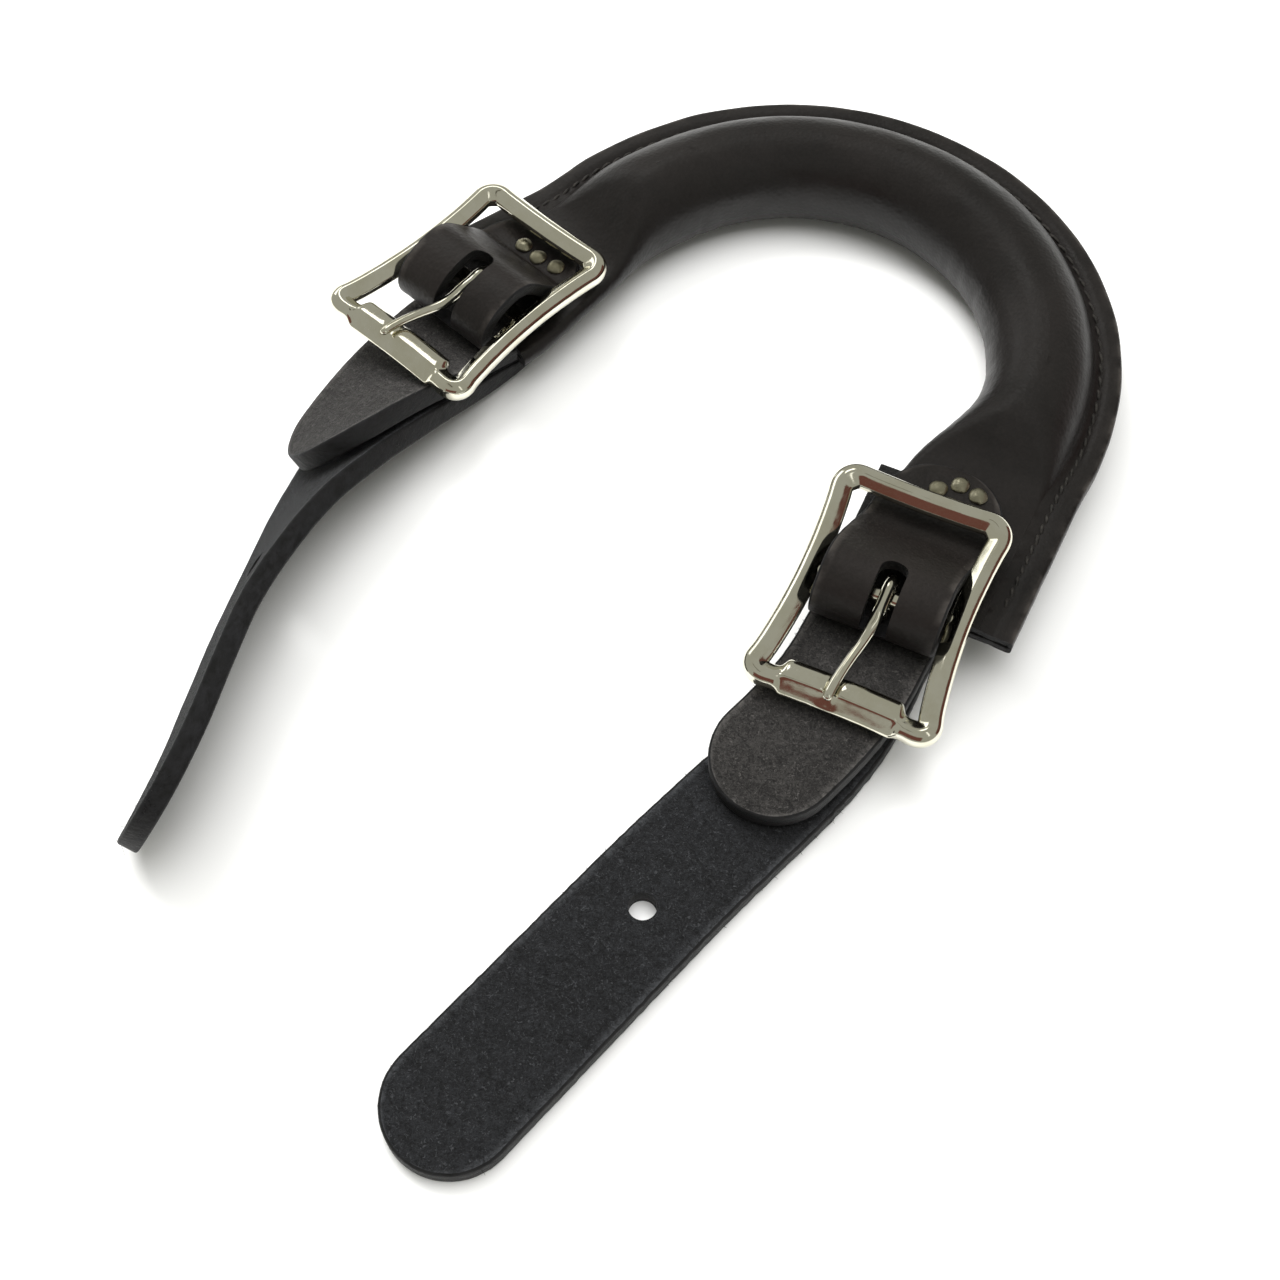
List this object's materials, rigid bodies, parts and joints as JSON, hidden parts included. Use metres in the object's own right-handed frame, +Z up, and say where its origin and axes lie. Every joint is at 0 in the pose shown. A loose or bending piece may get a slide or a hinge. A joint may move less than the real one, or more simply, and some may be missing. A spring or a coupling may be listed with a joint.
{
  "type": "crupper dock",
  "caption": "Horse crupper dock: a stuffed leather roll bent into a U, with a riveted buckle, short safe and long strap at each end.",
  "frame": {"origin": "bottom centre of the whole object's box, on the surface it lies on", "axes": "+Y from the strap ends towards the closed end of the U, +X across the U towards the end that lies flat, +Z up"},
  "size_m": [0.156, 0.244, 0.0267],
  "materials": {
    "black_leather": "dyed grain side, low sheen",
    "flesh_side_leather": "matt flesh side with a short nap",
    "nickel_plate": "polished nickel plate, warm tint",
    "rope_stuffing": "twisted natural fibre"
  },
  "bodies": {
    "dock": {"dock_cover": "black_leather", "dock_core": "rope_stuffing", "right_chape": "black_leather", "right_safe": "flesh_side_leather", "right_strap_base": "flesh_side_leather", "right_rivet_1": "nickel_plate", "right_burr_1": "nickel_plate", "right_rivet_2": "nickel_plate", "right_burr_2": "nickel_plate", "right_rivet_3": "nickel_plate", "right_burr_3": "nickel_plate", "left_chape": "black_leather", "left_safe": "flesh_side_leather", "left_strap_base": "flesh_side_leather", "left_rivet_1": "nickel_plate", "left_burr_1": "nickel_plate", "left_rivet_2": "nickel_plate", "left_burr_2": "nickel_plate", "left_rivet_3": "nickel_plate", "left_burr_3": "nickel_plate"},
    "right_buckle": {"right_buckle_frame": "nickel_plate"},
    "right_tongue": {"right_tongue": "nickel_plate"},
    "right_strap_middle": {"right_strap_middle": "flesh_side_leather"},
    "right_strap_tip": {"right_strap_tip": "flesh_side_leather"},
    "left_buckle": {"left_buckle_frame": "nickel_plate"},
    "left_tongue": {"left_tongue": "nickel_plate"},
    "left_strap_middle": {"left_strap_middle": "flesh_side_leather"},
    "left_strap_tip": {"left_strap_tip": "flesh_side_leather"}
  },
  "joints": [
    {"name": "right_buckle_rock", "type": "hinge", "parent": "dock", "child": "right_buckle", "pos_m": [0.05363, 0.01308, 0.019], "axis": [0.9573, 0.289, 0], "range_deg": [-6, 3]},
    {"name": "right_tongue_lift", "type": "hinge", "parent": "right_buckle", "child": "right_tongue", "pos_m": [0.05363, 0.01308, 0.019], "axis": [-0.9573, -0.289, 0], "range_deg": [0, 80]},
    {"name": "right_strap_bend", "type": "hinge", "parent": "dock", "child": "right_strap_middle", "pos_m": [0.05746, -0.04395, 0.00422], "axis": [-0.9984, 0.0566, 0], "range_deg": [0, 90]},
    {"name": "right_strap_tip_bend", "type": "hinge", "parent": "right_strap_middle", "child": "right_strap_tip", "pos_m": [0.05628, -0.08293, 0.00422], "axis": [-0.9998, 0.0189, 0], "range_deg": [0, 90]},
    {"name": "left_buckle_rock", "type": "hinge", "parent": "dock", "child": "left_buckle", "pos_m": [-0.05797, 0.01668, 0.019], "axis": [0.9999, -0.014, 0], "range_deg": [-4, 0]},
    {"name": "left_tongue_lift", "type": "hinge", "parent": "left_buckle", "child": "left_tongue", "pos_m": [-0.05797, 0.01668, 0.019], "axis": [-0.9999, 0.014, 0], "range_deg": [0, 80]},
    {"name": "left_strap_bend", "type": "hinge", "parent": "dock", "child": "left_strap_middle", "pos_m": [-0.05023, -0.04431, 0.01269], "axis": [-0.579, -0.222, -0.7845], "range_deg": [0, 90]},
    {"name": "left_strap_tip_bend", "type": "hinge", "parent": "left_strap_middle", "child": "left_strap_tip", "pos_m": [-0.0361, -0.08104, 0.01339], "axis": [-0.3777, -0.1918, -0.9059], "range_deg": [0, 90]}
  ]
}
